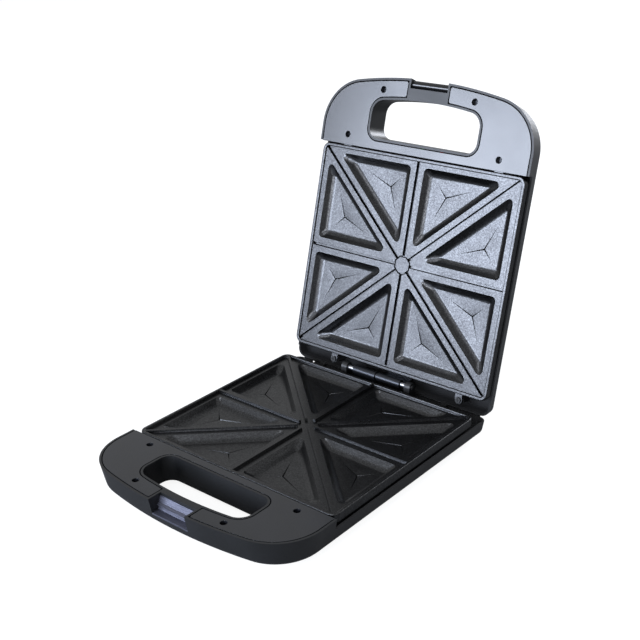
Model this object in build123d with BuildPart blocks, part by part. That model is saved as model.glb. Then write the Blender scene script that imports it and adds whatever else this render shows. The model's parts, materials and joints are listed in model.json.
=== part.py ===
"""Sandwich toaster with two hinged halves, eight-pocket cooking plates and a front carrying handle.

Row frame: +X to the user's right, +Y from the handle to the hinge, +Z up, feet on Z = 0.
Each half is drawn in its own half frame: y = 0 just inside the front edge of the cooking plate, z = 0
on the plane where the closed halves meet, and the half hangs below it. BASE_AT and LID_AT place them.
The lid's half frame is turned over, so a piece at +x in it ends up on the user's left.
"""

from build123d import *

import os
from math import atan, degrees, hypot, sqrt

os.makedirs("parts", exist_ok=True)

# ---------------------------------------------------------------- driving dimensions (mm, degrees)
PATTERN_W = 241.6
PATTERN_D = 218.0
PATTERN_Y = 107.4
HINGE_Y = 229.0
OPEN_ANGLE = 105.4
PLATE_FRONT_Y = -127.0
SPLIT_Z = 32.0

# Moulded casings
HALF_W = 128.0
HANDLE_FRONT_Y = -81.7
HANDLE_BOW_R = 485.0
HANDLE_CORNER_R = 50.0
REAR_Y = 239.7
REAR_CORNER_R = 12.0
TOP_Z = -0.2
SHELL_FLOOR_Z = -26.4
DRAFT = 10.8
EDGE_R = 7.0
POST_R = 4.0
WALL = 2.2
FLOOR = 2.4
SIDE_LIP_Z = -10.7
REAR_LIP_Z = -12.0
REAR_LIP_START_Y = 226.0
CROWN_DROP = 2.5
CROWN_INSET = 12.0
CROWN_CORNER_R = 16.0

# Carrying handle
PANEL_REAR_Y = -4.7
PANEL_T = 2.4
PANEL_GAP = 1.0
HANDLE_END_Y = -5.2
OPENING_HALF_W = 65.5
OPENING_REAR_Y = -16.2
OPENING_FRONT_Y = -59.7
OPENING_BOW_R = 390.0
OPENING_REAR_R = 11.0
OPENING_FRONT_R = 14.0
NOTCH_HALF_W = 22.4
LID_NOTCH_Y = -71.4
BASE_NOTCH_Y = -66.5
BASE_LEDGE_Z = -17.0
HANDLE_SCREWS = [(-92.5, -15.5), (92.5, -15.5), (-55.2, -66.6), (55.2, -66.6)]
WELL_R = 3.3
WELL_FLOOR_Z = -6.6

# Cooking plates: width, front and rear of each outline, and the height of its raised edge
BASE_PLATE = (246.0, -3.1, 216.2, -0.4)
LID_PLATE = (248.4, -3.6, 220.4, -1.9)
PLATE_CORNER_R = 8.0
PLATE_EDGE_W = 3.8
PLATE_EDGE_R = 1.1
LAND_Z = -3.5
SLAB_T = 3.4
SKIRT_Z = -8.4
SKIRT_FLARE = 0.3
SKIRT_T = 2.3
LAND_OUTER = 6.45
LAND_MID = 8.1
LAND_DIAGONAL = 7.2
POCKET_WALL_RUN = 4.4
POCKET_EDGE_DEPTH = 6.6
POCKET_DEPTH = 7.2
POCKET_R = 6.0
SKIN = 2.2
GROOVE_W = 3.4
GROOVE_DEPTH = 2.0
RIDGE_W = 3.2
RIDGE_TOP_Z = -0.7
HUB_R = 9.6
HUB_GROOVE_W = 1.8
CREASE_W = 2.4
CREASE_DEPTH = 0.9
CREASE_REACH = 0.6
TONGUE_X = 93.0
TONGUE_Z = -5.3
TONGUE_T = 1.7
TONGUE_REACH = 6.6
EYELETS_BASE = (-80.0, 80.0)
EYELETS_LID = (71.0, -91.0)
EYELET_Y = 227.6
EYELET_R = 4.0
EYELET_T = 1.5
EDGE_TAPER = 12.0
RIDGE_TAPER = 7.0
GROOVE_TAPER = 22.0
TONGUE_W = 10.0

# Heating
ELEMENT_R = 3.2
ELEMENT_Z = -16.8
ELEMENT_HALF_W = 88.0
ELEMENT_FRONT_Y = 32.0
ELEMENT_REAR_Y = 180.0
ELEMENT_TAIL_X = 22.0
ELEMENT_END_Y = 208.2
SADDLE_L = 8.0
SADDLE_W = 7.0
SHIELD_T = 0.8
SHIELD_FLOOR_Z = -20.0
SHIELD_HALF_W = 117.0
SHIELD_FRONT_Y = 1.8
SHIELD_REAR_Y = 213.0
SHIELD_SCREWS = [(-100.0, 18.0), (100.0, 18.0), (-100.0, 198.0), (100.0, 198.0)]
THERMOSTAT_Z = -13.0
THERMOSTAT_R = 7.0
FUSE_X = 26.0
FUSE_L = 22.0
FUSE_R = 2.5
FUSE_LEAD_R = 0.6
FUSE_LEAD_L = 5.0
TERMINAL_AT = (58.0, 220.5)
TERMINAL_SIZE = (20.0, 9.0, 9.0)
TERMINAL_PITCH = 6.5

# Hinge and latch
HINGE_PIN_R = 2.5
KNUCKLE_R = 4.6
BASE_KNUCKLE = (-36.0, -7.2)
LID_KNUCKLE = (-24.8, 5.0)
HINGE_POSTS = (-47.5, 35.5)
POST_T = 7.0
BRACKET_T = 1.5
BRACKET_FOOT = 13.0
BRACKET_SCREW_Y = 220.5
BRACKET_SEAT_Z = -20.0
EAR_R = 5.2
LATCH_Y = -75.4
LATCH_Z = -6.0
LATCH_R = 4.0
LATCH_PIN_R = 1.5
LATCH_HALF_W = 21.4
LEVER_REACH = 19.5
LEVER_BACK = 3.7
LEVER_T = 2.4
HOOK_LENGTH = 8.2
HOOK_T = 2.2
CATCH_TOP_Z = -2.9
CATCH_RIDGE_Z = -10.7
CATCH_FRONT_Y = -78.2
RUN = 0.05

# Screws: shank radius, the hole it passes and the head
SCREW_R = 1.3
SCREW_HOLE_R = 1.7
SCREW_HEAD_R = 3.0
PANEL_HEAD_R = 2.9
SCREW_HEAD_H = 1.5

# Supports and mains entry
FOOT_R = 7.0
FOOT_H = 3.1
FEET = [(-94.0, 34.0), (94.0, 34.0), (-94.0, 190.0), (94.0, 190.0)]
INLET_X = -98.0
INLET_Z = -17.8
INLET_R = 3.3
INLET_START_Y = 229.0
INLET_END_Y = 237.3
BUSH_WALL = 1.0
LAMPS_X = (-12.0, 12.0)
LAMP_Y = -10.4
LAMP_R = 2.6

BASE_AT = Location((0, PLATE_FRONT_Y, SPLIT_Z))
LID_AT = Location((0, PLATE_FRONT_Y + HINGE_Y, SPLIT_Z), (-OPEN_ANGLE, 0, 0)) * Location(
    (0, -HINGE_Y, 0), (0, 180, 0)
)


def save(piece, name, place):
    """Put a finished piece in its half of the open toaster and write it."""
    placed = piece.moved(place)
    placed.label = name
    export_step(placed, f"parts/{name}.step")


# ---------------------------------------------------------------- shared outlines
def half_outline(inset=0.0):
    """Plan outline of a half at its top edge: bowed handle front, round corners, square rear."""
    corner_rise = HANDLE_BOW_R - sqrt(HANDLE_BOW_R**2 - HALF_W**2)
    corner_y = HANDLE_FRONT_Y + corner_rise
    with BuildSketch() as outline:
        with BuildLine():
            ThreePointArc((-HALF_W, corner_y), (0, HANDLE_FRONT_Y), (HALF_W, corner_y))
            Polyline((HALF_W, corner_y), (HALF_W, REAR_Y), (-HALF_W, REAR_Y), (-HALF_W, corner_y))
        make_face()
        fillet(outline.vertices().group_by(Axis.Y)[0], HANDLE_CORNER_R)
        fillet(outline.vertices().group_by(Axis.Y)[-1], REAR_CORNER_R)
        if inset:
            offset(amount=-inset)
    return outline.sketch


def opening_outline(growth=0.0):
    """The finger opening of the handle: straight rear edge, bowed front edge, round corners."""
    corner_rise = OPENING_BOW_R - sqrt(OPENING_BOW_R**2 - OPENING_HALF_W**2)
    corner_y = OPENING_FRONT_Y + corner_rise
    left, right = -OPENING_HALF_W, OPENING_HALF_W
    with BuildSketch() as outline:
        with BuildLine():
            ThreePointArc((left, corner_y), (0, OPENING_FRONT_Y), (right, corner_y))
            Polyline((right, corner_y), (right, OPENING_REAR_Y), (left, OPENING_REAR_Y), (left, corner_y))
        make_face()
        fillet(outline.vertices().group_by(Axis.Y)[0], OPENING_FRONT_R)
        fillet(outline.vertices().group_by(Axis.Y)[-1], OPENING_REAR_R)
        if growth:
            offset(amount=growth)
    return outline.sketch


# ---------------------------------------------------------------- casings
def tub(inset, floor_z, edge_r):
    """A drafted block of the half's outline with a rounded lower edge and a shallow crown."""
    with BuildPart() as block:
        with BuildSketch(Plane.XY.offset(TOP_Z)):
            add(half_outline(inset))
        extrude(amount=floor_z - TOP_Z, taper=DRAFT)
        fillet(block.edges().group_by(Axis.Z)[0], edge_r)
        with BuildSketch(Plane.XY.offset(floor_z)):
            with Locations((0, PATTERN_Y)):
                RectangleRounded(PATTERN_W - 2 * CROWN_INSET, PATTERN_D - 2 * CROWN_INSET, CROWN_CORNER_R)
        extrude(amount=-CROWN_DROP, taper=45)
    return block.part


def casing(notch_y, notch_floor_z, eyelets, bracket_screws, ears):
    """One moulded casing: shell, handle tube, cross wall, latch notch, lips and screw posts."""
    outer = tub(0, SHELL_FLOOR_Z, EDGE_R)
    cavity = tub(WALL, SHELL_FLOOR_Z + FLOOR, EDGE_R - WALL)
    depth = TOP_Z - SHELL_FLOOR_Z
    posts = [
        (HANDLE_SCREWS, WELL_FLOOR_Z - 1.6),
        (SHIELD_SCREWS, SHIELD_FLOOR_Z - SHIELD_T),
        ([(x, EYELET_Y) for x in eyelets], SKIRT_Z),
        (bracket_screws, BRACKET_SEAT_Z),
    ]
    with BuildPart() as shell:
        add(outer)
        add(cavity, mode=Mode.SUBTRACT)
        # Wall round the finger opening
        with BuildSketch(Plane.XY.offset(TOP_Z)):
            add(opening_outline(WALL))
        extrude(amount=-depth)
        # Cross wall between the handle and the hot plate
        with BuildSketch(Plane.XY.offset(SHELL_FLOOR_Z + 1)):
            with Locations((0, PANEL_REAR_Y - 1)):
                Rectangle(2 * HALF_W - 12, 2)
        extrude(amount=-5.4 - SHELL_FLOOR_Z - 1)
        # Solid bridge and horn ends at the latch notch
        with BuildSketch(Plane.XY.offset(SHELL_FLOOR_Z)):
            with Locations((0, OPENING_FRONT_Y)):
                Rectangle(2 * (NOTCH_HALF_W + WALL), 60, align=(Align.CENTER, Align.MAX))
        extrude(amount=depth)
        # Screw posts: handle panel, heat shield, plate eyelets, hinge bracket
        for places, top_z in posts:
            with BuildSketch(Plane.XY.offset(SHELL_FLOOR_Z - CROWN_DROP)):
                with Locations(*places):
                    Circle(POST_R)
            extrude(amount=top_z - SHELL_FLOOR_Z + CROWN_DROP)
        # Foot of each ear that will carry the hinge pin
        for x in ears:
            with BuildSketch(Plane.XY.offset(SHELL_FLOOR_Z)):
                with Locations((x, HINGE_Y)):
                    Rectangle(POST_T, 2 * EAR_R)
            extrude(amount=REAR_LIP_Z - SHELL_FLOOR_Z)
        add(outer, mode=Mode.INTERSECT)
        # Finger opening, latch notch and the lowered lips round the plate
        with BuildSketch(Plane.XY.offset(1)):
            add(opening_outline())
        extrude(amount=-40, mode=Mode.SUBTRACT)
        with BuildSketch(Plane.XY.offset(notch_floor_z)):
            with Locations((0, notch_y)):
                Rectangle(2 * NOTCH_HALF_W, 40, align=(Align.CENTER, Align.MAX))
        extrude(amount=1 - notch_floor_z, mode=Mode.SUBTRACT)
        with BuildSketch(Plane.XY.offset(SIDE_LIP_Z)):
            with Locations((0, HANDLE_END_Y)):
                Rectangle(300, 260, align=(Align.CENTER, Align.MIN))
        extrude(amount=20, mode=Mode.SUBTRACT)
        with BuildSketch(Plane.XY.offset(REAR_LIP_Z)):
            with Locations((0, REAR_LIP_START_Y)):
                Rectangle(300, 40, align=(Align.CENTER, Align.MIN))
        extrude(amount=20, mode=Mode.SUBTRACT)
        for places, top_z in posts:
            with Locations(*[(x, y, top_z) for x, y in places]):
                Hole(SCREW_R, depth=min(12, top_z - SHELL_FLOOR_Z - 1))
    return shell


def handle_panel():
    """The inlaid cover of one handle half, with a sunk well for each of its four screws."""
    with BuildPart() as panel:
        with BuildSketch(Plane.XY.offset(TOP_Z)) as face:
            add(half_outline(WALL + PANEL_GAP))
            with Locations((0, PANEL_REAR_Y)):
                Rectangle(300, 300, align=(Align.CENTER, Align.MIN), mode=Mode.SUBTRACT)
            add(opening_outline(WALL + PANEL_GAP), mode=Mode.SUBTRACT)
            with Locations((0, OPENING_FRONT_Y)):
                Rectangle(2 * (NOTCH_HALF_W + WALL + PANEL_GAP), 60, mode=Mode.SUBTRACT)
            horn_ends = face.vertices().filter_by(lambda v: abs(v.X) < 30 and v.Y < -55)
            fillet(horn_ends, 2)
        extrude(amount=-PANEL_T)
        with BuildSketch(Plane.XY.offset(TOP_Z)):
            with Locations(*HANDLE_SCREWS):
                Circle(WELL_R + 1.2)
        extrude(amount=WELL_FLOOR_Z - 1.6 - TOP_Z)
        with Locations(*[(x, y, TOP_Z) for x, y in HANDLE_SCREWS]):
            CounterBoreHole(SCREW_HOLE_R, WELL_R, TOP_Z - WELL_FLOOR_Z)
    return panel


def pan_head_screws(places, head_z, length, head_r=SCREW_HEAD_R):
    """Cross-recessed pan-head screws pointing down, their heads standing on head_z."""
    with BuildPart() as screws:
        for x, y in places:
            with BuildSketch(Plane.XY.offset(head_z)):
                with Locations((x, y)):
                    Circle(head_r)
            extrude(amount=SCREW_HEAD_H)
            with BuildSketch(Plane.XY.offset(head_z)):
                with Locations((x, y)):
                    Circle(SCREW_R)
            extrude(amount=-length)
        with BuildSketch(Plane.XY.offset(head_z + SCREW_HEAD_H)):
            with Locations(*places):
                Rectangle(1.3 * head_r, 0.7)
                Rectangle(0.7, 1.3 * head_r)
        extrude(amount=-0.8, mode=Mode.SUBTRACT)
    return screws


# ---------------------------------------------------------------- cooking plates
def triangle_inset(corners, insets):
    """Corners of a triangle whose side i, from corner i to the next, moves inwards by insets[i]."""
    lines = []
    middle = Vector(sum(c[0] for c in corners) / 3, sum(c[1] for c in corners) / 3)
    for i in range(3):
        start, end = Vector(*corners[i]), Vector(*corners[(i + 1) % 3])
        along = (end - start).normalized()
        normal = Vector(-along.Y, along.X)
        if normal.dot(middle - start) < 0:
            normal = normal * -1
        lines.append((start + normal * insets[i], along))
    result = []
    for i in range(3):
        (p, d), (q, e) = lines[i - 1], lines[i]
        cross = d.X * e.Y - d.Y * e.X
        step = ((q.X - p.X) * e.Y - (q.Y - p.Y) * e.X) / cross
        result.append((p.X + d.X * step, p.Y + d.Y * step))
    return result


def pocket_floor(corners, insets):
    """Rim, foot of the sloping walls and lowest point of one pocket."""
    rim = triangle_inset(corners, insets)
    floor = triangle_inset(rim, [POCKET_WALL_RUN] * 3)
    sides = [hypot(floor[i][0] - floor[i - 1][0], floor[i][1] - floor[i - 1][1]) for i in range(3)]
    weights = [sides[(i + 2) % 3] for i in range(3)]
    apex_x = sum(weights[i] * floor[i][0] for i in range(3)) / sum(weights)
    apex_y = sum(weights[i] * floor[i][1] for i in range(3)) / sum(weights)
    return rim, floor, (apex_x, apex_y, LAND_Z - POCKET_DEPTH)


def crease(apex, corner):
    """One arm of a pocket's Y: a V groove that runs from the lowest point and fades out half way."""
    run_x, run_y = corner[0] - apex[0], corner[1] - apex[1]
    rise = CREASE_REACH * (POCKET_DEPTH - POCKET_EDGE_DEPTH)
    end = Vertex(apex[0] + CREASE_REACH * run_x, apex[1] + CREASE_REACH * run_y, apex[2] + rise)
    section = Plane(origin=apex, x_dir=(-run_y, run_x, 0), z_dir=(run_x, run_y, 0))
    with BuildPart() as groove:
        with BuildSketch(section) as profile:
            Polygon((-CREASE_W / 2, 0.5), (CREASE_W / 2, 0.5), (0, -CREASE_DEPTH), align=None)
        loft(sections=[profile.sketch.face(), end], ruled=True)
    return groove.part


def pocket_hollow(corners, insets):
    """The room of one pocket: walls that curve into a three-facet floor, and a Y of creases on it."""
    rim, floor, apex = pocket_floor(corners, insets)
    floor_z = LAND_Z - POCKET_EDGE_DEPTH
    with BuildPart() as hollow:
        with BuildSketch(Plane.XY.offset(LAND_Z)):
            Polygon(*rim, align=None)
        with BuildSketch(Plane.XY.offset(floor_z)) as bottom:
            Polygon(*floor, align=None)
        loft(ruled=True)
        loft(sections=[bottom.sketch.face(), Vertex(*apex)], ruled=True)
        below_rim = hollow.edges().filter_by(lambda e: max(v.Z for v in e.vertices()) < LAND_Z - 0.1)
        walls = hollow.edges().filter_by(lambda e: max(v.Z for v in e.vertices()) > LAND_Z - 0.1)
        upright = walls.filter_by(lambda e: min(v.Z for v in e.vertices()) < LAND_Z - 0.1)
        foot = below_rim.filter_by(lambda e: min(v.Z for v in e.vertices()) > apex[2] + 0.1)
        fillet(upright + foot, POCKET_R)
        for corner in floor:
            add(crease(apex, corner))
    return hollow.part


def pocket_shell(corners, insets):
    """The plain block that a pocket's skin takes up below the slab."""
    rim = triangle_inset(corners, [inset - SKIN for inset in insets])
    run = POCKET_WALL_RUN * (POCKET_DEPTH + SKIN) / POCKET_EDGE_DEPTH
    with BuildPart() as block:
        with BuildSketch(Plane.XY.offset(LAND_Z)):
            Polygon(*rim, align=None)
        with BuildSketch(Plane.XY.offset(LAND_Z - POCKET_DEPTH - SKIN)):
            Polygon(*triangle_inset(rim, [run] * 3), align=None)
        loft(ruled=True)
    return block.part


def eight_pockets(form):
    """One form in all eight pockets: a pair in the front right quarter, mirrored to the others."""
    half_w, half_d = PATTERN_W / 2, PATTERN_D / 2
    front_y = PATTERN_Y - half_d
    middle, side = (0, PATTERN_Y), (half_w, front_y)
    along_front = [(0, front_y), side, middle], [LAND_OUTER, LAND_DIAGONAL, LAND_MID]
    along_side = [(half_w, PATTERN_Y), middle, side], [LAND_MID, LAND_DIAGONAL, LAND_OUTER]
    with BuildPart() as pockets:
        for corners, insets in (along_front, along_side):
            add(form(corners, insets))
        mirror(about=Plane.YZ)
        mirror(about=Plane.XZ.offset(-PATTERN_Y))
    return pockets.part


def spokes(width, start, reach):
    """Sketch of the eight straight lines that divide the plate, outside the hub."""
    half_w, half_d = PATTERN_W / 2, PATTERN_D / 2
    diagonal = degrees(atan(half_d / half_w))
    lengths = {0: half_w, 90: half_d, diagonal: hypot(half_w, half_d)}
    with BuildSketch() as lines:
        for angle, length in lengths.items():
            for turn in {angle, -angle, 180 - angle, 180 + angle} - {270, 360} if angle else {0, 180}:
                with Locations(Location((0, PATTERN_Y, 0), (0, 0, turn))):
                    with Locations(((start + length + reach) / 2, 0)):
                        Rectangle(length + reach - start, width)
    return lines.sketch


def cooking_plate(ridged, eyelets, outline):
    """Cast plate: skirt, raised edge, eight pockets with a skin below, ridges or grooves between."""
    width, front_y, rear_y, edge_z = outline
    depth = rear_y - front_y
    centre = (0, (front_y + rear_y) / 2)
    flare = degrees(atan(SKIRT_FLARE / (edge_z - SKIRT_Z)))
    with BuildPart() as plate:
        with BuildSketch(Plane.XY.offset(edge_z)):
            with Locations(centre):
                RectangleRounded(width, depth, PLATE_CORNER_R)
        extrude(amount=SKIRT_Z - edge_z, taper=-flare)
        with BuildSketch(Plane.XY.offset(LAND_Z)):
            with Locations(centre):
                inner_r = PLATE_CORNER_R - PLATE_EDGE_W
                RectangleRounded(width - 2 * PLATE_EDGE_W, depth - 2 * PLATE_EDGE_W, inner_r)
        extrude(amount=5, taper=-EDGE_TAPER, mode=Mode.SUBTRACT)
        fillet(plate.edges().group_by(Axis.Z)[-1], PLATE_EDGE_R)
        with BuildSketch(Plane.XY.offset(SKIRT_Z)):
            with Locations(centre):
                RectangleRounded(width - 2 * SKIRT_T, depth - 2 * SKIRT_T, PLATE_CORNER_R - SKIRT_T)
        extrude(amount=LAND_Z - SLAB_T - SKIRT_Z, mode=Mode.SUBTRACT)
        add(eight_pockets(pocket_shell))
        # Saddles that press on the heating element
        with BuildSketch(Plane.XY.offset(ELEMENT_Z + ELEMENT_R)):
            with Locations((-ELEMENT_HALF_W, PATTERN_Y), (ELEMENT_HALF_W, PATTERN_Y)):
                Rectangle(SADDLE_L, SADDLE_W)
            with Locations((0, ELEMENT_FRONT_Y)):
                Rectangle(SADDLE_W, SADDLE_L)
        extrude(amount=LAND_Z - 1 - ELEMENT_Z - ELEMENT_R)
        add(eight_pockets(pocket_hollow), mode=Mode.SUBTRACT)
        # Front tongues that hook under the handle panel, and rear eyelets
        with BuildSketch(Plane.XY.offset(TONGUE_Z)):
            with Locations((-TONGUE_X, front_y + 2), (TONGUE_X, front_y + 2)):
                Rectangle(TONGUE_W, front_y + 2 + TONGUE_REACH, align=(Align.CENTER, Align.MAX))
        extrude(amount=TONGUE_T)
        with BuildSketch(Plane.XY.offset(SKIRT_Z)):
            for x in eyelets:
                with Locations((x, EYELET_Y)):
                    Circle(EYELET_R)
                    Rectangle(2 * EYELET_R, EYELET_Y - rear_y + 1, align=(Align.CENTER, Align.MAX))
        extrude(amount=EYELET_T)
        with Locations(*[(x, EYELET_Y, SKIRT_Z + EYELET_T) for x in eyelets]):
            Hole(SCREW_HOLE_R, depth=EYELET_T)
        if ridged:
            with BuildSketch(Plane.XY.offset(LAND_Z - 0.5)):
                add(spokes(RIDGE_W, HUB_R, 8))
                with Locations(centre):
                    RectangleRounded(width - 4, depth - 4, PLATE_CORNER_R - 2, mode=Mode.INTERSECT)
            extrude(amount=RIDGE_TOP_Z - LAND_Z + 0.5, taper=RIDGE_TAPER)
        else:
            with BuildSketch(Plane.XY.offset(LAND_Z)):
                add(spokes(GROOVE_W, HUB_R, -0.8))
            extrude(amount=-GROOVE_DEPTH, taper=GROOVE_TAPER, mode=Mode.SUBTRACT)
            with BuildSketch(Plane.XY.offset(LAND_Z)):
                with Locations((0, PATTERN_Y)):
                    RegularPolygon(HUB_R + HUB_GROOVE_W / 2, 8, rotation=22.5)
                    RegularPolygon(HUB_R - HUB_GROOVE_W / 2, 8, rotation=22.5, mode=Mode.SUBTRACT)
            extrude(amount=-GROOVE_DEPTH, mode=Mode.SUBTRACT)
    return plate


# ---------------------------------------------------------------- heating parts
def heating_element():
    """Sheathed tube bent into a loop under the plate, both ends leaving at the rear."""
    w, tail = ELEMENT_HALF_W, ELEMENT_TAIL_X
    front, rear, end = ELEMENT_FRONT_Y, ELEMENT_REAR_Y, ELEMENT_END_Y
    right = [(0, front), (w, front), (w, rear), (tail, rear), (tail, end)]
    left = [(-x, y) for x, y in reversed(right[1:])]
    with BuildPart() as element:
        with BuildLine(Plane.XY.offset(ELEMENT_Z)) as path:
            FilletPolyline(*left, *right[1:], radius=14)
        with BuildSketch(Plane(origin=path.line @ 0, z_dir=path.line % 0)):
            Circle(ELEMENT_R)
        sweep()
        # Terminal studs
        for x in (-tail, tail):
            with BuildSketch(Plane(origin=(x, end, ELEMENT_Z), z_dir=(0, 1, 0))):
                Circle(1.4)
            extrude(amount=9)
    return element


def element_bushes():
    """Ceramic bushes on the element's two ends, seated in the shield's rear wall."""
    with BuildPart() as bushes:
        for x in (-ELEMENT_TAIL_X, ELEMENT_TAIL_X):
            with BuildSketch(Plane(origin=(x, ELEMENT_END_Y, ELEMENT_Z), z_dir=(0, 1, 0))):
                Circle(3.2)
                Circle(1.4, mode=Mode.SUBTRACT)
            extrude(amount=6)
            with BuildSketch(Plane(origin=(x, SHIELD_REAR_Y, ELEMENT_Z), z_dir=(0, 1, 0))):
                Circle(3.8)
                Circle(1.4, mode=Mode.SUBTRACT)
            extrude(amount=1.2)
    return bushes


def heat_shield():
    """Pressed steel tray that closes the heated space below the plate."""
    depth = SHIELD_REAR_Y - SHIELD_FRONT_Y
    middle = (0, (SHIELD_REAR_Y + SHIELD_FRONT_Y) / 2)
    bottom_z = SHIELD_FLOOR_Z - SHIELD_T
    with BuildPart() as shield:
        with BuildSketch(Plane.XY.offset(bottom_z)):
            with Locations(middle):
                RectangleRounded(2 * SHIELD_HALF_W, depth, 6)
        extrude(amount=LAND_Z - SLAB_T - bottom_z)
        with BuildSketch(Plane.XY.offset(SHIELD_FLOOR_Z)):
            with Locations(middle):
                RectangleRounded(2 * (SHIELD_HALF_W - SHIELD_T), depth - 2 * SHIELD_T, 6 - SHIELD_T)
        extrude(amount=30, mode=Mode.SUBTRACT)
        for x in (-ELEMENT_TAIL_X, ELEMENT_TAIL_X):
            with BuildSketch(Plane(origin=(x, SHIELD_REAR_Y - 2, ELEMENT_Z), z_dir=(0, 1, 0))):
                Circle(3.2)
            extrude(amount=4, mode=Mode.SUBTRACT)
        with Locations(*[(x, y, SHIELD_FLOOR_Z) for x, y in SHIELD_SCREWS]):
            Hole(SCREW_HOLE_R, depth=SHIELD_T)
    return shield


# ---------------------------------------------------------------- hinge parts
def bracket_screws(start, end):
    """Places of the two screws in a hinge bracket's foot."""
    return [(start + 6, BRACKET_SCREW_Y), (end - 6, BRACKET_SCREW_Y)]


def hinge_bracket(start, end, bore):
    """Steel strap with a knuckle round the hinge pin and a foot screwed to two posts."""
    width = end - start
    with BuildPart() as bracket:
        with BuildSketch(Plane(origin=(start, HINGE_Y, 0), x_dir=(0, 1, 0), z_dir=(1, 0, 0))):
            Circle(KNUCKLE_R)
            with Locations((-2, 0)):
                Rectangle(2, -BRACKET_SEAT_Z, align=(Align.MIN, Align.MAX))
            with Locations((0, BRACKET_SEAT_Z)):
                Rectangle(BRACKET_FOOT, BRACKET_T, align=(Align.MAX, Align.MIN))
            Circle(bore, mode=Mode.SUBTRACT)
        extrude(amount=width)
        with Locations(*[(x, y, BRACKET_SEAT_Z + BRACKET_T) for x, y in bracket_screws(start, end)]):
            Hole(SCREW_HOLE_R, depth=BRACKET_T)
    return bracket


# ================================================================ base half
print("base")
base_bracket_places = bracket_screws(*BASE_KNUCKLE)
with BuildPart() as base_casing:
    add(casing(BASE_NOTCH_Y, BASE_LEDGE_Z, EYELETS_BASE, base_bracket_places, HINGE_POSTS).part)
    # Ears that hold the two ends of the hinge pin
    for x in HINGE_POSTS:
        with BuildSketch(Plane(origin=(x - POST_T / 2, HINGE_Y, 0), x_dir=(0, 1, 0), z_dir=(1, 0, 0))):
            Circle(EAR_R)
            Rectangle(2 * EAR_R, 1 - REAR_LIP_Z, align=(Align.CENTER, Align.MAX))
            Circle(HINGE_PIN_R, mode=Mode.SUBTRACT)
        extrude(amount=POST_T)
    with Locations(*[(x, y, SHELL_FLOOR_Z) for x, y in FEET]):
        Hole(3, depth=10)
    # Slot in the rear wall that the cord bush drops into
    with BuildSketch(Plane(origin=(INLET_X, INLET_START_Y, INLET_Z), x_dir=(1, 0, 0), z_dir=(0, -1, 0))):
        Circle(INLET_R + BUSH_WALL)
        Rectangle(2 * (INLET_R + BUSH_WALL), 20, align=(Align.CENTER, Align.MIN))
    extrude(amount=-20, mode=Mode.SUBTRACT)
save(base_casing.part, "base_casing", BASE_AT)

base_panel = handle_panel()
save(base_panel.part, "base_handle_panel", BASE_AT)
save(pan_head_screws(HANDLE_SCREWS, WELL_FLOOR_Z, 10, PANEL_HEAD_R).part, "base_handle_screws", BASE_AT)

base_plate = cooking_plate(True, EYELETS_BASE, BASE_PLATE)
save(base_plate.part, "base_plate", BASE_AT)
base_plate_fasteners = pan_head_screws([(x, EYELET_Y) for x in EYELETS_BASE], SKIRT_Z + EYELET_T, 9)
save(base_plate_fasteners.part, "base_plate_screws", BASE_AT)
save(heating_element().part, "base_heating_element", BASE_AT)
save(element_bushes().part, "base_element_bushes", BASE_AT)
save(heat_shield().part, "base_heat_shield", BASE_AT)
save(pan_head_screws(SHIELD_SCREWS, SHIELD_FLOOR_Z, 4.5).part, "base_shield_screws", BASE_AT)
save(hinge_bracket(*BASE_KNUCKLE, HINGE_PIN_R).part, "base_hinge_bracket", BASE_AT)
bracket_top_z = BRACKET_SEAT_Z + BRACKET_T
save(pan_head_screws(base_bracket_places, bracket_top_z, 6).part, "base_hinge_screws", BASE_AT)

with BuildPart() as hinge_pin:
    with BuildSketch(Plane(origin=(HINGE_POSTS[0] - POST_T / 2, HINGE_Y, 0), z_dir=(1, 0, 0))):
        Circle(HINGE_PIN_R)
    extrude(amount=HINGE_POSTS[1] - HINGE_POSTS[0] + POST_T)
    chamfer(hinge_pin.edges(), 0.4)
save(hinge_pin.part, "hinge_pin", BASE_AT)

with BuildPart() as latch_catch:
    with BuildSketch(Plane(origin=(-NOTCH_HALF_W, 0, 0), x_dir=(0, 1, 0), z_dir=(1, 0, 0))):
        with BuildLine():
            Polyline(
                (BASE_NOTCH_Y, BASE_LEDGE_Z),
                (BASE_NOTCH_Y, CATCH_TOP_Z),
                (BASE_NOTCH_Y - 0.8, CATCH_TOP_Z),
                (BASE_NOTCH_Y - 2.6, CATCH_RIDGE_Z + 2),
                (BASE_NOTCH_Y - 5.3, CATCH_RIDGE_Z + 0.8),
                (BASE_NOTCH_Y - 5.3, CATCH_RIDGE_Z),
                (BASE_NOTCH_Y - 3.2, CATCH_RIDGE_Z),
                (BASE_NOTCH_Y - 4.2, BASE_LEDGE_Z + 1.6),
                (CATCH_FRONT_Y, BASE_LEDGE_Z + 1.6),
                (CATCH_FRONT_Y, BASE_LEDGE_Z),
                (BASE_NOTCH_Y, BASE_LEDGE_Z),
            )
        make_face()
    extrude(amount=2 * NOTCH_HALF_W)
save(latch_catch.part, "latch_catch", BASE_AT)

with BuildPart() as rubber_feet:
    for x, y in FEET:
        with BuildSketch(Plane.XY.offset(SHELL_FLOOR_Z - CROWN_DROP)):
            with Locations((x, y)):
                Circle(FOOT_R)
        extrude(amount=-FOOT_H)
        with BuildSketch(Plane.XY.offset(SHELL_FLOOR_Z - CROWN_DROP)):
            with Locations((x, y)):
                Circle(3)
        extrude(amount=FLOOR)
        with BuildSketch(Plane.XY.offset(SHELL_FLOOR_Z - CROWN_DROP + FLOOR)):
            with Locations((x, y)):
                Circle(3.8)
        extrude(amount=1)
    chamfer(rubber_feet.edges().group_by(Axis.Z)[0], 0.8)
save(rubber_feet.part, "rubber_feet", BASE_AT)

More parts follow.
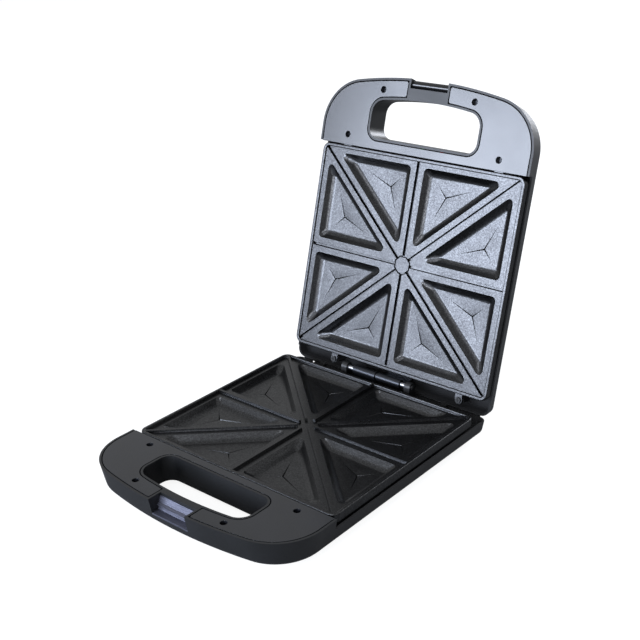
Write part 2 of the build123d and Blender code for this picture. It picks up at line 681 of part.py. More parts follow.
with BuildPart() as thermostat:
    with BuildSketch(Plane.XY.offset(THERMOSTAT_Z)):
        with Locations((0, PATTERN_Y)):
            Circle(THERMOSTAT_R)
    extrude(amount=LAND_Z - SLAB_T - THERMOSTAT_Z)
    with BuildSketch(Plane.XY.offset(THERMOSTAT_Z + 2)):
        with Locations((0, PATTERN_Y)):
            Rectangle(5, 24)
    extrude(amount=0.8)
save(thermostat.part, "thermostat", BASE_AT)

with BuildPart() as thermostat_bracket:
    with BuildSketch(Plane(origin=(-5, PATTERN_Y, 0), x_dir=(0, 1, 0), z_dir=(1, 0, 0))):
        with BuildLine():
            Polyline(
                (-14, SHIELD_FLOOR_Z),
                (-6, SHIELD_FLOOR_Z),
                (-6, THERMOSTAT_Z - 1),
                (6, THERMOSTAT_Z - 1),
                (6, SHIELD_FLOOR_Z),
                (14, SHIELD_FLOOR_Z),
                (14, SHIELD_FLOOR_Z + 1),
                (7, SHIELD_FLOOR_Z + 1),
                (7, THERMOSTAT_Z),
                (-7, THERMOSTAT_Z),
                (-7, SHIELD_FLOOR_Z + 1),
                (-14, SHIELD_FLOOR_Z + 1),
                (-14, SHIELD_FLOOR_Z),
            )
        make_face()
    extrude(amount=10)
save(thermostat_bracket.part, "thermostat_bracket", BASE_AT)

with BuildPart() as thermal_fuse:
    fuse_z = SHIELD_FLOOR_Z + FUSE_R
    with BuildSketch(Plane(origin=(FUSE_X, PATTERN_Y, fuse_z), z_dir=(1, 0, 0))):
        Circle(FUSE_R)
    extrude(amount=FUSE_L)
    with BuildSketch(Plane(origin=(FUSE_X - FUSE_LEAD_L, PATTERN_Y, fuse_z), z_dir=(1, 0, 0))):
        Circle(FUSE_LEAD_R)
    extrude(amount=FUSE_L + 2 * FUSE_LEAD_L)
save(thermal_fuse.part, "thermal_fuse", BASE_AT)

with BuildPart() as terminal_block:
    block_x, block_y = TERMINAL_AT
    block_w, block_d, block_h = TERMINAL_SIZE
    with BuildSketch(Plane.XY.offset(SHELL_FLOOR_Z + FLOOR)):
        with Locations(TERMINAL_AT):
            Rectangle(block_w, block_d)
    extrude(amount=block_h)
    holes_x = [block_x + step * TERMINAL_PITCH for step in (-1, 0, 1)]
    with Locations(*[(x, block_y, SHELL_FLOOR_Z + FLOOR + block_h) for x in holes_x]):
        Hole(1.8, depth=5)
save(terminal_block.part, "terminal_block", BASE_AT)

with BuildPart() as cord_inlet:
    with BuildSketch(Plane(origin=(INLET_X, INLET_START_Y, INLET_Z), z_dir=(0, 1, 0))):
        Circle(INLET_R + BUSH_WALL)
    extrude(amount=INLET_END_Y - INLET_START_Y)
    with BuildSketch(Plane(origin=(INLET_X, INLET_END_Y, INLET_Z), z_dir=(0, 1, 0))):
        Circle(INLET_R + 1.7 * BUSH_WALL)
    extrude(amount=1.8)
    with BuildSketch(Plane(origin=(INLET_X, INLET_START_Y, INLET_Z), z_dir=(0, 1, 0))):
        Circle(INLET_R)
    extrude(amount=30, mode=Mode.SUBTRACT)
save(cord_inlet.part, "cord_inlet", BASE_AT)

# ================================================================ lid half
print("lid")
lid_bracket_places = bracket_screws(*LID_KNUCKLE)
with BuildPart() as lid_casing:
    add(casing(LID_NOTCH_Y, -60, EYELETS_LID, lid_bracket_places, []).part)
    with Locations(*[(x, LAMP_Y, SHELL_FLOOR_Z + FLOOR) for x in LAMPS_X]):
        Hole(LAMP_R, depth=6)
    with BuildSketch(Plane(origin=(-NOTCH_HALF_W - WALL, LATCH_Y, LATCH_Z), z_dir=(1, 0, 0))):
        Circle(LATCH_PIN_R)
    extrude(amount=2 * (NOTCH_HALF_W + WALL), mode=Mode.SUBTRACT)
save(lid_casing.part, "lid_casing", LID_AT)

save(handle_panel().part, "lid_handle_panel", LID_AT)
save(pan_head_screws(HANDLE_SCREWS, WELL_FLOOR_Z, 10, PANEL_HEAD_R).part, "lid_handle_screws", LID_AT)
save(cooking_plate(False, EYELETS_LID, LID_PLATE).part, "lid_plate", LID_AT)
lid_plate_fasteners = pan_head_screws([(x, EYELET_Y) for x in EYELETS_LID], SKIRT_Z + EYELET_T, 9)
save(lid_plate_fasteners.part, "lid_plate_screws", LID_AT)
save(heating_element().part, "lid_heating_element", LID_AT)
save(element_bushes().part, "lid_element_bushes", LID_AT)
save(heat_shield().part, "lid_heat_shield", LID_AT)
save(pan_head_screws(SHIELD_SCREWS, SHIELD_FLOOR_Z, 4.5).part, "lid_shield_screws", LID_AT)
save(hinge_bracket(*LID_KNUCKLE, HINGE_PIN_R + RUN).part, "lid_hinge_bracket", LID_AT)
save(pan_head_screws(lid_bracket_places, bracket_top_z, 6).part, "lid_hinge_screws", LID_AT)

for lamp_name, lamp_x in zip(("power_lamp_lens", "ready_lamp_lens"), LAMPS_X):
    with BuildPart() as lens:
        with BuildSketch(Plane.XY.offset(SHELL_FLOOR_Z + FLOOR)):
            with Locations((lamp_x, LAMP_Y)):
                Circle(LAMP_R)
        extrude(amount=-FLOOR - 0.8)
        chamfer(lens.edges().group_by(Axis.Z)[0], 0.6)
        with BuildSketch(Plane.XY.offset(SHELL_FLOOR_Z + FLOOR)):
            with Locations((lamp_x, LAMP_Y)):
                Circle(LAMP_R + 0.5)
        extrude(amount=0.8)
    save(lens.part, lamp_name, LID_AT)

with BuildPart() as neon_lamps:
    with BuildSketch(Plane.XY.offset(SHELL_FLOOR_Z + FLOOR + 0.8)):
        with Locations(*[(x, LAMP_Y) for x in LAMPS_X]):
            Circle(1.8)
    extrude(amount=9)
    chamfer(neon_lamps.edges().group_by(Axis.Z)[-1], 1)
save(neon_lamps.part, "neon_lamps", LID_AT)

with BuildPart() as latch_lever:
    with BuildSketch(Plane(origin=(-LATCH_HALF_W, LATCH_Y, LATCH_Z), x_dir=(0, 1, 0), z_dir=(1, 0, 0))):
        Circle(LATCH_R)
        # The arm stands folded back beside the bridge, its hook outwards
        with Locations((LEVER_BACK, 0)):
            Rectangle(LEVER_T, LEVER_REACH, align=(Align.MAX, Align.MAX))
        with Locations((LEVER_BACK, -LEVER_REACH)):
            Rectangle(HOOK_LENGTH, HOOK_T, align=(Align.MAX, Align.MIN))
        Circle(LATCH_PIN_R + RUN, mode=Mode.SUBTRACT)
    extrude(amount=2 * LATCH_HALF_W)
save(latch_lever.part, "latch_lever", LID_AT)

with BuildPart() as latch_pin:
    with BuildSketch(Plane(origin=(-NOTCH_HALF_W - WALL, LATCH_Y, LATCH_Z), z_dir=(1, 0, 0))):
        Circle(LATCH_PIN_R)
    extrude(amount=2 * (NOTCH_HALF_W + WALL))
save(latch_pin.part, "latch_pin", LID_AT)
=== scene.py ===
"""Sandwich toaster standing open: finishes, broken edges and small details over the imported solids."""

import json
from math import cos, radians, sin

import bpy
from mathutils import Matrix, Vector

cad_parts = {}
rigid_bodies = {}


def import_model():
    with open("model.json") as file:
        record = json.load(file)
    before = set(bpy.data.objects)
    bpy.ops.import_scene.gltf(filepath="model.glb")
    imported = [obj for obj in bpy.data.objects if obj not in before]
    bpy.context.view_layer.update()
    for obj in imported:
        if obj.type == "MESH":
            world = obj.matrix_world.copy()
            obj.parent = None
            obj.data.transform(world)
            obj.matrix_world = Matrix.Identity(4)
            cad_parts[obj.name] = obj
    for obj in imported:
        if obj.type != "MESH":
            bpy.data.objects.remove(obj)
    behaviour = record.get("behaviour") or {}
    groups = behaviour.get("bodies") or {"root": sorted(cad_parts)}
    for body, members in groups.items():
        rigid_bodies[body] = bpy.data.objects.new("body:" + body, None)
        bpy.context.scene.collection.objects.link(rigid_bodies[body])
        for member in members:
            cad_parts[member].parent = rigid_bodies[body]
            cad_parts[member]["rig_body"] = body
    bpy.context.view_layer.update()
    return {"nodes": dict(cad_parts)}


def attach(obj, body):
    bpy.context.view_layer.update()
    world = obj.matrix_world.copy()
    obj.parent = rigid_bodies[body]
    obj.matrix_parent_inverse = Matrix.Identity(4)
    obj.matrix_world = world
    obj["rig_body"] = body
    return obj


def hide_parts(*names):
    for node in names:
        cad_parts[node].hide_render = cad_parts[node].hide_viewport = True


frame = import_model()
nodes = frame["nodes"]
MM = 0.001

# Each half is drawn in millimetres in a frame of its own: x across, y from the front edge of its
# plate to the hinge at HINGE_Y, z from the split between the halves into the half. PLATE_FRONT_Y and
# SPLIT_Z place these frames on the toaster, and the lid stands open by OPEN_ANGLE degrees.
HALVES = ("base", "lid")
PLATE_FRONT_Y = -127.0
HINGE_Y = 229.0
SPLIT_Z = 32.0
OPEN_ANGLE = 105.4

# Cooking plates: the middle and half sizes of the pattern of eight pockets, and the depths of its levels
PATTERN_Y = 107.4
PATTERN_HALF_W = 120.8
PATTERN_HALF_D = 109.0
LAND_DEPTH = 3.5
GROOVE_FLOOR = 5.5
FLOOR_DEPTH = 10.1
PLATE_UNDERSIDE = 11.75
CREASE_TOP = FLOOR_DEPTH - 0.02
CREASE_FOOT = FLOOR_DEPTH + 0.05

# How the plates are worked over: the lid's grooves go down by GROOVE_SINK. From COVE_START below the
# lands, a pocket's walls run in by COVE_SHRINK of the way to its deepest point, or by COVE_RUN at most.
# Its floor is dished FLOOR_DISH times as deep. What lies beyond PATTERN_HALF_W less RIM_MARGIN stays.
GROOVE_SINK = 1.1
COVE_START = 1.5
COVE_SHRINK = 0.14
COVE_RUN = 2.6
FLOOR_DISH = 1.6
RIM_MARGIN = 6.6

# Where the inside of a casing starts: below its lip, and behind its handle
INSIDE_DEPTH = 4.0
INSIDE_FRONT_Y = -3.0

# Moulded bead at the rear of the open lid, in millimetres from the toaster's own origin
BEAD_CENTRE = (0.0, 111.5, 20.1)
BEAD_SIZE = (232.0, 1.2, 2.6)
BEAD_ROUNDING = 0.45

# Widths of the broken edges
CASING_EDGE = 0.3
PANEL_EDGE = 0.5
PLATE_EDGE = 0.3

# Edges that turn by more than SHARP_ANGLE degrees are sharp. In a copied solid, points within MERGE_GAP
# and faces that turn by less than FLAT_ANGLE become one.
SHARP_ANGLE = 30.0
FLAT_ANGLE = 0.3
MERGE_GAP = 0.002

# LEVEL is how far a face or edge may lie from the depth that it is at. The cosine of a face's turn from
# the depth is over LIES_FLAT where the face lies flat in the half, and over NO_WALL where it is no wall.
LEVEL = 0.1
LIES_FLAT = 0.99
NO_WALL = 0.5

# ---------------------------------------------------------------- camera
# Places in metres, angles in degrees, lens and sensor in millimetres
CAMERA_TARGET = Vector((0.0006, 0.0030, 0.1338))
CAMERA_AZIMUTH = 40.326
CAMERA_ELEVATION = 23.564
CAMERA_ROLL = -1.627
CAMERA_DISTANCE = 1.04198
CAMERA_LENS = 61.28
CAMERA_SENSOR = 36.0
CAMERA_CLIP = 0.01


def set_camera():
    """A camera at its azimuth and elevation about the target, rolled about its line of sight."""
    azimuth, elevation, roll = (radians(v) for v in (CAMERA_AZIMUTH, CAMERA_ELEVATION, CAMERA_ROLL))
    back = Vector((sin(azimuth) * cos(elevation), -cos(azimuth) * cos(elevation), sin(elevation)))
    level = Vector((cos(azimuth), sin(azimuth), 0))
    upright = back.cross(level)
    right = level * cos(roll) + upright * sin(roll)
    up = upright * cos(roll) - level * sin(roll)
    camera = bpy.data.objects.new("camera", bpy.data.cameras.new("camera"))
    camera.data.lens = CAMERA_LENS
    camera.data.sensor_width = CAMERA_SENSOR
    camera.data.clip_start = CAMERA_CLIP
    place = CAMERA_TARGET + back * CAMERA_DISTANCE
    turn = Matrix((right, up, back)).transposed().to_4x4()
    camera.matrix_world = Matrix.Translation(place) @ turn
    bpy.context.scene.collection.objects.link(camera)
    bpy.context.scene.camera = camera


# ---------------------------------------------------------------- materials
NOISE_ROUGHNESS = 0.6
WHOLE = (0.0, 1.0)  # all of a noise's range
MIDDLE = (0.3, 0.7)  # the part of the range in which most of a noise lies
BRIGHT_TAIL = (0.4, 0.75)  # a higher part, so that flecks stand out on a darker ground
INSIDE_DULLING = 0.45  # how much rougher a casing is within


def colour(code):
    """A hex sRGB code as linear RGBA."""
    parts = [int(code[i : i + 2], 16) / 255 for i in (1, 3, 5)]
    linear = [v / 12.92 if v <= 0.04045 else ((v + 0.055) / 1.055) ** 2.4 for v in parts]
    return (*linear, 1.0)


def set_value(socket, value):
    """Sets an input to a number, or to a hex colour."""
    socket.default_value = colour(value) if isinstance(value, str) else value


def add_node(tree, kind, settings=None, links=None, feeds=None):
    """Adds a node with its settings, what its inputs are linked to, and what its outputs feed."""
    node = tree.nodes.new(kind)
    for key, value in (settings or {}).items():
        if key == "stops":
            for stop, (place, code) in zip(node.color_ramp.elements, value):
                stop.position = place
                stop.color = colour(code)
        elif hasattr(node, str(key)):
            setattr(node, key, value)
        else:
            set_value(node.inputs[key], value)
    for key, source in (links or {}).items():
        tree.links.new(source, node.inputs[key])
    for key, target in (feeds or {}).items():
        tree.links.new(node.outputs[key], target)
    return node


def new_material(name, settings):
    """A material with a Principled shader: returns the material and the shader's inputs."""
    material = bpy.data.materials.new(name)
    material.use_nodes = True
    inputs = material.node_tree.nodes["Principled BSDF"].inputs
    for key, value in settings.items():
        set_value(inputs[key], value)
    return material, inputs


def spots(tree, size, detail, stretch=None):
    """Soft spots of a real size in millimetres, which a stretch under 1 draws out along its axis."""
    position = add_node(tree, "ShaderNodeTexCoord").outputs["Object"]
    if stretch:
        drawn_out = add_node(tree, "ShaderNodeMapping", {"Scale": stretch}, {"Vector": position})
        position = drawn_out.outputs["Vector"]
    settings = {"Scale": 1 / (size * MM), "Detail": detail, "Roughness": NOISE_ROUGHNESS}
    return add_node(tree, "ShaderNodeTexNoise", settings, {"Vector": position}).outputs["Fac"]


def vary(target, low, high, size, detail=2, span=WHOLE, stretch=None):
    """Lets an input wander from spot to spot between two colours or two numbers."""
    tree = target.id_data
    pattern = spots(tree, size, detail, stretch)
    start, end = span
    if isinstance(low, str):
        stops = ((start, low), (end, high))
        add_node(tree, "ShaderNodeValToRGB", {"stops": stops}, {"Fac": pattern}, {"Color": target})
    else:
        limits = {"From Min": start, "From Max": end, "To Min": low, "To Max": high}
        add_node(tree, "ShaderNodeMapRange", limits, {"Value": pattern}, {"Result": target})


def roughen(inputs, size, strength, height, detail=2):
    """Gives the surface a fine relief of spots, with size and height in millimetres."""
    tree = inputs["Normal"].id_data
    settings = {"Strength": strength, "Distance": height * MM}
    pattern = spots(tree, size, detail)
    add_node(tree, "ShaderNodeBump", settings, {"Height": pattern}, {"Normal": inputs["Normal"]})


def moulded_abs():
    """Black ABS, injection moulded: a satin skin outside, and rougher within, where a blacker colour is
    painted shade of the recesses.

    The mould's own grain is a fifth of a millimetre, and is drawn coarser so that it shows. Inputs 6
    and 7 of a colour Mix node are the two colours that it mixes, and output 2 is the result.
    """
    material, inputs = new_material("moulded_abs_satin_with_painted_shade_within", {"IOR": 1.45})
    tree = material.node_tree
    inside = add_node(tree, "ShaderNodeAttribute", {"attribute_name": "inside"}).outputs["Fac"]
    tone_and_painted_shade = add_node(
        tree, "ShaderNodeMix", {"data_type": "RGBA"}, {0: inside}, {2: inputs["Base Color"]}
    )
    vary(tone_and_painted_shade.inputs[6], "#0b0c0d", "#101113", size=60, detail=3, span=MIDDLE)
    # The colour within is darker: painted shade, standing in for the shadow that fills the casing's
    # recesses.
    vary(tone_and_painted_shade.inputs[7], "#050506", "#09090a", size=60, detail=3, span=MIDDLE)
    dulling = {"operation": "MULTIPLY_ADD", 1: INSIDE_DULLING}
    rough = add_node(tree, "ShaderNodeMath", dulling, {0: inside}, {0: inputs["Roughness"]})
    vary(rough.inputs[2], 0.40, 0.48, size=60, detail=3, span=MIDDLE)
    roughen(inputs, size=0.9, strength=0.12, height=0.10)
    return material


def polished_abs():
    """Black ABS from a polished tool: the inlaid handle covers, smoother than the casings."""
    material, inputs = new_material("moulded_abs_semi_gloss", {"IOR": 1.5})
    vary(inputs["Base Color"], "#141518", "#1b1c20", size=45, detail=3, span=MIDDLE)
    vary(inputs["Roughness"], 0.20, 0.26, size=45, detail=3, span=MIDDLE)
    roughen(inputs, size=1.2, strength=0.05, height=0.10)
    return material


def gloss_abs():
    """Black ABS from a mirror-polished tool: the latch lever, deep black with clear reflections."""
    material, inputs = new_material("moulded_abs_gloss", {"IOR": 1.5, "Roughness": 0.16})
    vary(inputs["Base Color"], "#0a0a0b", "#101012", size=20, detail=3)
    return material


def nonstick_coating():
    """Black PTFE with metal flake, sprayed on cast aluminium: a satin sheen with fine bright flecks.

    The flecks are a few tenths of a millimetre, and are drawn coarser so that they show.
    """
    material, inputs = new_material("flake_ptfe_on_cast_aluminium", {"Metallic": 1.0})
    vary(inputs["Base Color"], "#343435", "#535455", size=1.3, detail=3, span=BRIGHT_TAIL)
    vary(inputs["Roughness"], 0.27, 0.34, size=35, span=MIDDLE)
    roughen(inputs, size=1.3, strength=0.10, height=0.12, detail=3)
    return material


def zinc_plate():
    """Zinc-plated steel of the hidden screws: bright and pale, a little cloudy."""
    material, inputs = new_material("zinc_plated_steel", {"Metallic": 1.0})
    vary(inputs["Base Color"], "#a9abae", "#c6c8ca", size=3.0)
    vary(inputs["Roughness"], 0.25, 0.40, size=0.8)
    return material


def black_oxide():
    """Blackened steel screws: dark, with a soft metal glint on the recess edges."""
    material, inputs = new_material("black_oxide_steel", {"Metallic": 1.0, "Roughness": 0.32})
    vary(inputs["Base Color"], "#2c2d2f", "#454649", size=1.0)
    return material


def phosphated_steel():
    """Phosphated steel screws in the plates' eyelets: dull black, with hardly a glint."""
    material, inputs = new_material("phosphated_steel", {"Roughness": 0.7})
    vary(inputs["Base Color"], "#070708", "#101011", size=1.0)
    return material


def drawn_steel():
    """Bright drawn steel pins: pale grey with a soft, even shine."""
    material, inputs = new_material("drawn_steel", {"Metallic": 1.0, "Roughness": 0.34})
    vary(inputs["Base Color"], "#8c8e92", "#a9abaf", size=1.5)
    return material


def blued_strap():
    """Blackened steel strap of the hinge: half-gloss and a little uneven."""
    material, inputs = new_material("blackened_steel_strap", {"Metallic": 0.9})
    vary(inputs["Base Color"], "#2a2b2e", "#3b3d41", size=2.0)
    vary(inputs["Roughness"], 0.28, 0.40, size=2.0)
    return material


def catch_metal():
    """Satin nickel plate of the catch: grey, with faint rub marks that run across the toaster."""
    material, inputs = new_material("satin_nickel_plate", {"Metallic": 0.85})
    rubbed = (0.05, 1.0, 1.0)
    vary(inputs["Base Color"], "#4c4d58", "#62636f", size=0.7, span=MIDDLE, stretch=rubbed)
    vary(inputs["Roughness"], 0.42, 0.55, size=0.7, stretch=rubbed)
    return material


def dark_tray():
    """Heat shields of aluminised steel, gone dull and dark from heat."""
    material, inputs = new_material("heat_dulled_aluminised_steel", {"Metallic": 0.8})
    vary(inputs["Base Color"], "#141415", "#222224", size=6.0, detail=4, span=MIDDLE)
    vary(inputs["Roughness"], 0.50, 0.65, size=6.0, detail=4)
    return material


def element_sheath():
    """Annealed steel sheath of the heating elements: dull, with a brown cast."""
    material, inputs = new_material("annealed_sheath_steel", {"Metallic": 0.9})
    vary(inputs["Base Color"], "#4b4844", "#6a655f", size=4.0, detail=3)
    vary(inputs["Roughness"], 0.45, 0.60, size=4.0, detail=3)
    return material


def fired_ceramic():
    """Unglazed fired ceramic bushes: matt cream, faintly speckled."""
    material, inputs = new_material("steatite_ceramic", {"Roughness": 0.7})
    vary(inputs["Base Color"], "#cfc8b8", "#e0dacc", size=1.0, detail=3)
    return material


def plain_nylon():
    """Moulded natural nylon of the terminal block: off-white and waxy."""
    material, inputs = new_material("natural_nylon", {"Roughness": 0.45})
    vary(inputs["Base Color"], "#d6d5cc", "#e3e2da", size=3.0)
    return material


def black_rubber():
    """Moulded black rubber: dull, with a fine dusty bloom."""
    material, inputs = new_material("moulded_rubber", {"IOR": 1.52})
    vary(inputs["Base Color"], "#0e0e0e", "#191919", size=1.5, detail=3)
    vary(inputs["Roughness"], 0.70, 0.85, size=1.5, detail=3)
    roughen(inputs, size=1.5, strength=0.15, height=0.10, detail=3)
    return material


def control_can():
    """Drawn aluminium cans of the thermostat and the fuse: pale, with a soft sheen."""
    material, inputs = new_material("drawn_aluminium_can", {"Metallic": 1.0})
    vary(inputs["Base Color"], "#a5a6a8", "#bcbdbf", size=1.0)
    vary(inputs["Roughness"], 0.35, 0.50, size=1.0)
    return material


def lamp_lens(name, deep, pale):
    """Moulded polycarbonate lamp lens: clear, glossy and coloured through."""
    settings = {"IOR": 1.58, "Transmission Weight": 0.6, "Roughness": 0.12}
    material, inputs = new_material(name, settings)
    vary(inputs["Base Color"], deep, pale, size=2.0)
    return material


def bulb_glass():
    """Thin blown glass of the neon lamps: clear and smooth, with a warm cast."""
    settings = {"IOR": 1.5, "Transmission Weight": 0.9, "Roughness": 0.05}
    material, inputs = new_material("neon_bulb_glass", settings)
    vary(inputs["Base Color"], "#f3e4dc", "#fdf3ee", size=2.0)
    return material


def paint(piece, material):
    """Gives a piece one material all over."""
    piece.data.materials.clear()
    piece.data.materials.append(material)


# ---------------------------------------------------------------- shaping the halves
def half_frame(half):
    """Matrix from a half's own frame to the scene. Depth runs down the base, and up the closed lid."""
    depth, angle = (MM, -OPEN_ANGLE) if half == "lid" else (-MM, 0.0)
    metres = Matrix.Diagonal((MM, MM, depth, 1))
    hinge_to_origin = Matrix.Translation((0, -HINGE_Y * MM, 0))
    opening = Matrix.Rotation(radians(angle), 4, "X")
    hinge = Matrix.Translation((0, (PLATE_FRONT_Y + HINGE_Y) * MM, SPLIT_Z * MM))
    return hinge @ opening @ hinge_to_origin @ metres


def mark_dull_and_shaded_inside(piece, half):
    """Marks the faces within a casing: they get a rougher finish, and a darker colour there that is
    painted shade.
    """
    to_half = half_frame(half).inverted()
    inside = piece.data.attributes.new("inside", "FLOAT", "FACE")
    for face, mark in zip(piece.data.polygons, inside.data):
        point = to_half @ face.center
        normal = (to_half.to_3x3() @ face.normal).normalized()
        inward = normal.y * (PATTERN_Y - point.y) - normal.x * point.x > 0
        hidden = normal.z < 0 if abs(normal.z) > NO_WALL else inward
        mark.value = float(hidden and point.z > INSIDE_DEPTH and point.y > INSIDE_FRONT_Y)


def sink_grooves(piece):
    """Lowers the floors of the lid plate's grooves, so that they lie in shadow as cast grooves do."""
    to_world = half_frame("lid")
    to_half = to_world.inverted()
    inward = to_world.to_3x3().col[2].normalized()
    for face in piece.data.polygons:
        at_floor = abs((to_half @ face.center).z - GROOVE_FLOOR) < LEVEL
        face.select = at_floor and abs(face.normal.dot(inward)) > LIES_FLAT
    bpy.ops.object.mode_set(mode="EDIT")
    bpy.ops.mesh.select_mode(type="FACE")
    bpy.ops.transform.translate(value=inward * GROOVE_SINK * MM)
    bpy.ops.object.mode_set(mode="OBJECT")


def mark_plate_edges(piece, half):
    """Gives weight to the sharp edges of a plate's lands and pocket floors, so that they are broken."""
    bpy.ops.object.mode_set(mode="EDIT")
    bpy.ops.mesh.select_mode(type="EDGE")
    bpy.ops.mesh.edges_select_sharp(sharpness=radians(SHARP_ANGLE))
    bpy.ops.object.mode_set(mode="OBJECT")
    to_half = half_frame(half).inverted()
    depths = [(to_half @ vertex.co).z for vertex in piece.data.vertices]
    weights = piece.data.attributes.new("bevel_weight_edge", "FLOAT", "EDGE")
    for line, weight in zip(piece.data.edges, weights.data):
        low, high = sorted(depths[i] for i in line.vertices)
        rim = high < LAND_DEPTH + LEVEL
        crease = low > CREASE_TOP and CREASE_FOOT < high < PLATE_UNDERSIDE
        weight.value = float(line.select and (rim or crease))


def sector(point):
    """Which of the eight pockets a point of the half frame lies over."""
    across = point.x / PATTERN_HALF_W
    along = (point.y - PATTERN_Y) / PATTERN_HALF_D
    return across > 0, along > 0, abs(along) > abs(across)


def soften_pockets(piece, half):
    """Widens the coves at the feet of the pocket walls, and dishes the floors."""
    to_world = half_frame(half)
    to_half = to_world.inverted()
    points = [to_half @ vertex.co for vertex in piece.data.vertices]
    deepest = {}
    for point in points:
        if FLOOR_DEPTH < point.z < PLATE_UNDERSIDE:
            pocket = sector(point)
            deepest[pocket] = max(point, deepest.get(pocket, point), key=lambda p: p.z)
    for vertex, point in zip(piece.data.vertices, points):
        drop = point.z - LAND_DEPTH - COVE_START
        reach = max(abs(point.x), abs(point.y - PATTERN_Y))
        if drop < 0 or point.z > PLATE_UNDERSIDE or reach > PATTERN_HALF_W - RIM_MARGIN:
            continue
        part = min(1.0, drop / (FLOOR_DEPTH - LAND_DEPTH - COVE_START))
        ease = part * part * (3 - 2 * part)
        move = deepest[sector(point)] - point
        move.z = 0
        move *= min(COVE_SHRINK, COVE_RUN / max(move.length, COVE_RUN)) * ease
        move.z = max(0.0, point.z - FLOOR_DEPTH) * (FLOOR_DISH - 1)
        vertex.co = to_world @ (point + move)


def work_plate(piece, half):
    """Shapes a cooking plate. Its edges are found by their depth, so before the pockets move."""
    if half == "lid":
        sink_grooves(piece)
    mark_plate_edges(piece, half)
    soften_pockets(piece, half)


# ---------------------------------------------------------------- dressing the solids
def apply_modifier(piece, kind, **settings):
    """Works a modifier with its settings into the mesh."""
    modifier = piece.modifiers.new(kind.lower(), kind)
    for key, value in settings.items():
        setattr(modifier, key, value)
    bpy.ops.object.modifier_apply(modifier=modifier.name)


def dress(half, part, material, edge, limit="ANGLE", shape=None):
    """Replaces a solid by a merged, smooth-shaded copy, shaped and with its edges broken."""
    node = f"{half}_{part}"
    piece = bpy.data.objects.new(f"{node}_finished", nodes[node].data.copy())
    bpy.context.scene.collection.objects.link(piece)
    bpy.ops.object.select_all(action="DESELECT")
    piece.select_set(True)
    bpy.context.view_layer.objects.active = piece
    bpy.ops.object.mode_set(mode="EDIT")
    bpy.ops.mesh.select_all(action="SELECT")
    bpy.ops.mesh.remove_doubles(threshold=MERGE_GAP * MM)
    bpy.ops.mesh.dissolve_limited(angle_limit=radians(FLAT_ANGLE))
    bpy.ops.mesh.select_all(action="DESELECT")
    bpy.ops.object.mode_set(mode="OBJECT")
    if shape:
        shape(piece, half)
    sharp = radians(SHARP_ANGLE)
    apply_modifier(piece, "BEVEL", width=edge * MM, segments=2, limit_method=limit, angle_limit=sharp)
    bpy.ops.object.shade_smooth_by_angle(angle=sharp)
    apply_modifier(piece, "WEIGHTED_NORMAL", keep_sharp=True)
    paint(piece, material)
    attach(piece, nodes[node]["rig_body"])
    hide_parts(node)


def rear_bead(material):
    """A small moulded bead along the end of the lid's rear wall, which closes the slit at the base."""
    centre = [v * MM for v in BEAD_CENTRE]
    size = [v * MM for v in BEAD_SIZE]
    bpy.ops.object.select_all(action="DESELECT")
    bpy.ops.mesh.primitive_cube_add(size=1, location=centre, scale=size)
    bead = bpy.context.active_object
    bead.name = "lid_rear_bead"
    bpy.ops.object.transform_apply(location=True, rotation=False, scale=True)
    apply_modifier(bead, "BEVEL", width=BEAD_ROUNDING * MM, segments=3)
    bpy.ops.object.shade_smooth_by_angle(angle=radians(SHARP_ANGLE))
    paint(bead, material)
    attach(bead, "lid")


# ---------------------------------------------------------------- studio
FLOOR_SIZE = 12.0
FLOOR_GLOW = 0.9
WORLD_LIGHT = 0.22
REFLECTED_WHITE = 0.6  # how much of the white surroundings metal and gloss mirror
REFLECTED_FLOOR = 0.06  # and how much of the floor's glow
TOASTER_MIDDLE = (0.0, 0.0, 0.16)
LID_MIDDLE = (0.0, 0.0, 0.20)
SOFTBOXES = (
    # name, place, target, width and height in metres, watts, tint
    ("front_softbox", (-0.77, -2.81, 0.76), TOASTER_MIDDLE, (2.78, 1.15), 193, "#e2ecff"),
    ("right_strip", (1.45, -2.45, 1.10), TOASTER_MIDDLE, (0.50, 1.50), 38, "#f2f6ff"),
    ("top_strip", (-0.35, -1.70, 2.50), TOASTER_MIDDLE, (1.50, 0.50), 22, "#f2f6ff"),
    ("back_softbox", (0.35, 2.90, 1.25), LID_MIDDLE, (1.40, 1.20), 95, "#f2f6ff"),
)


def soft_light(name, place, target, size, power, tint):
    """A rectangular softbox that faces the target."""
    light = bpy.data.lights.new(name, "AREA")
    light.shape = "RECTANGLE"
    light.size, light.size_y = size
    light.energy = power
    light.color = colour(tint)[:3]
    lamp = bpy.data.objects.new(name, light)
    lamp.location = place
    lamp.rotation_euler = (Vector(target) - Vector(place)).to_track_quat("-Z", "Y").to_euler()
    bpy.context.scene.collection.objects.link(lamp)


def background_share(tree, mirrored_part):
    """How much of the white background a ray sees: all for camera and glass, part for reflections."""
    rays = add_node(tree, "ShaderNodeLightPath").outputs
    straight = {0: rays["Is Camera Ray"], 1: rays["Is Transmission Ray"]}
    clear = add_node(tree, "ShaderNodeMath", {"operation": "MAXIMUM"}, straight)
    dimming = {"operation": "MULTIPLY", 1: mirrored_part}
    mirrored = add_node(tree, "ShaderNodeMath", dimming, {0: rays["Is Glossy Ray"]})
    both = {0: clear.outputs[0], 1: mirrored.outputs[0]}
    return add_node(tree, "ShaderNodeMath", {"operation": "MAXIMUM"}, both).outputs[0]


def white_paper():
    """Matt paper of the floor: it shows white, and still keeps the toaster's shadow."""
    settings = {"Base Color": "#787878", "Emission Color": "#ffffff", "Roughness": 0.9}
    material, inputs = new_material("white_paper", settings)
    share = background_share(material.node_tree, REFLECTED_FLOOR)
    glow = {"operation": "MULTIPLY", 1: FLOOR_GLOW}
    add_node(
        material.node_tree, "ShaderNodeMath", glow, {0: share}, {0: inputs["Emission Strength"]}
    )
    return material


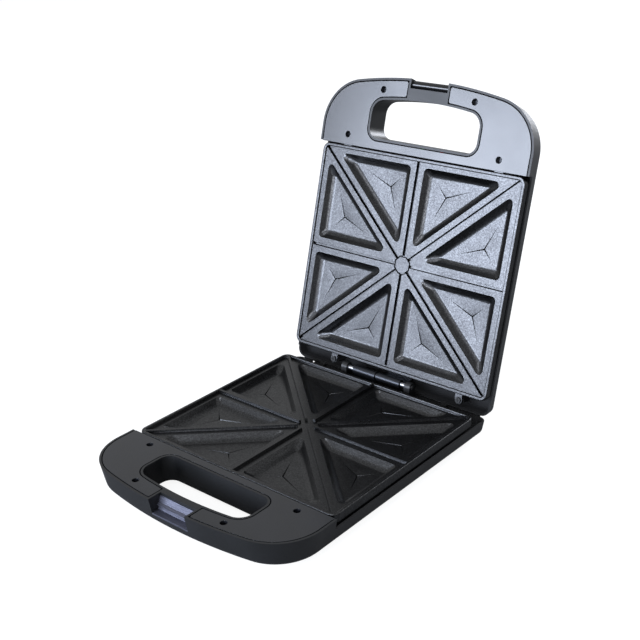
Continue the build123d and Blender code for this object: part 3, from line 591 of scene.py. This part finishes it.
def set_floor():
    """A wide floor at the feet's underside."""
    bpy.ops.object.select_all(action="DESELECT")
    bpy.ops.mesh.primitive_plane_add(size=FLOOR_SIZE, location=(0, 0, 0))
    floor = bpy.context.active_object
    floor.name = "floor"
    paint(floor, white_paper())


def set_world():
    """Surroundings that look white, and that light the toaster softly and a little cool."""
    world = bpy.data.worlds.new("studio")
    world.use_nodes = True
    bpy.context.scene.world = world
    tree = world.node_tree
    dim = tree.nodes["Background"]
    set_value(dim.inputs["Color"], "#d8e4f4")
    set_value(dim.inputs["Strength"], WORLD_LIGHT)
    white = add_node(tree, "ShaderNodeBackground", {"Color": "#ffffff", "Strength": 1.0})
    add_node(
        tree,
        "ShaderNodeMixShader",
        {},
        {0: background_share(tree, REFLECTED_WHITE), 1: dim.outputs[0], 2: white.outputs[0]},
        {0: tree.nodes["World Output"].inputs["Surface"]},
    )


# ---------------------------------------------------------------- the toaster
set_camera()

casing = moulded_abs()
panel = polished_abs()
coating = nonstick_coating()
zinc = zinc_plate()
oxide = black_oxide()
bright = drawn_steel()
can = control_can()
rubber = black_rubber()

finishes_of_both_halves = {
    "casing": casing,
    "handle_panel": panel,
    "plate": coating,
    "handle_screws": oxide,
    "plate_screws": phosphated_steel(),
    "shield_screws": zinc,
    "hinge_screws": oxide,
    "heating_element": element_sheath(),
    "element_bushes": fired_ceramic(),
    "heat_shield": dark_tray(),
    "hinge_bracket": blued_strap(),
}
finishes = {
    "thermostat": can,
    "thermal_fuse": can,
    "thermostat_bracket": zinc,
    "terminal_block": plain_nylon(),
    "cord_inlet": rubber,
    "rubber_feet": rubber,
    "hinge_pin": bright,
    "latch_pin": bright,
    "latch_catch": catch_metal(),
    "latch_lever": gloss_abs(),
    "power_lamp_lens": lamp_lens("red_polycarbonate", "#b01510", "#bb1712"),
    "ready_lamp_lens": lamp_lens("green_polycarbonate", "#1c8a30", "#1e9334"),
    "neon_lamps": bulb_glass(),
}
for half in HALVES:
    for part, finish in finishes_of_both_halves.items():
        finishes[f"{half}_{part}"] = finish
for node, finish in finishes.items():
    paint(nodes[node], finish)

for half in HALVES:
    dress(half, "casing", casing, CASING_EDGE, shape=mark_dull_and_shaded_inside)
    dress(half, "handle_panel", panel, PANEL_EDGE)
    dress(half, "plate", coating, PLATE_EDGE, limit="WEIGHT", shape=work_plate)
rear_bead(casing)

set_floor()
set_world()
for softbox in SOFTBOXES:
    soft_light(*softbox)
bpy.context.scene.view_settings.view_transform = "Standard"
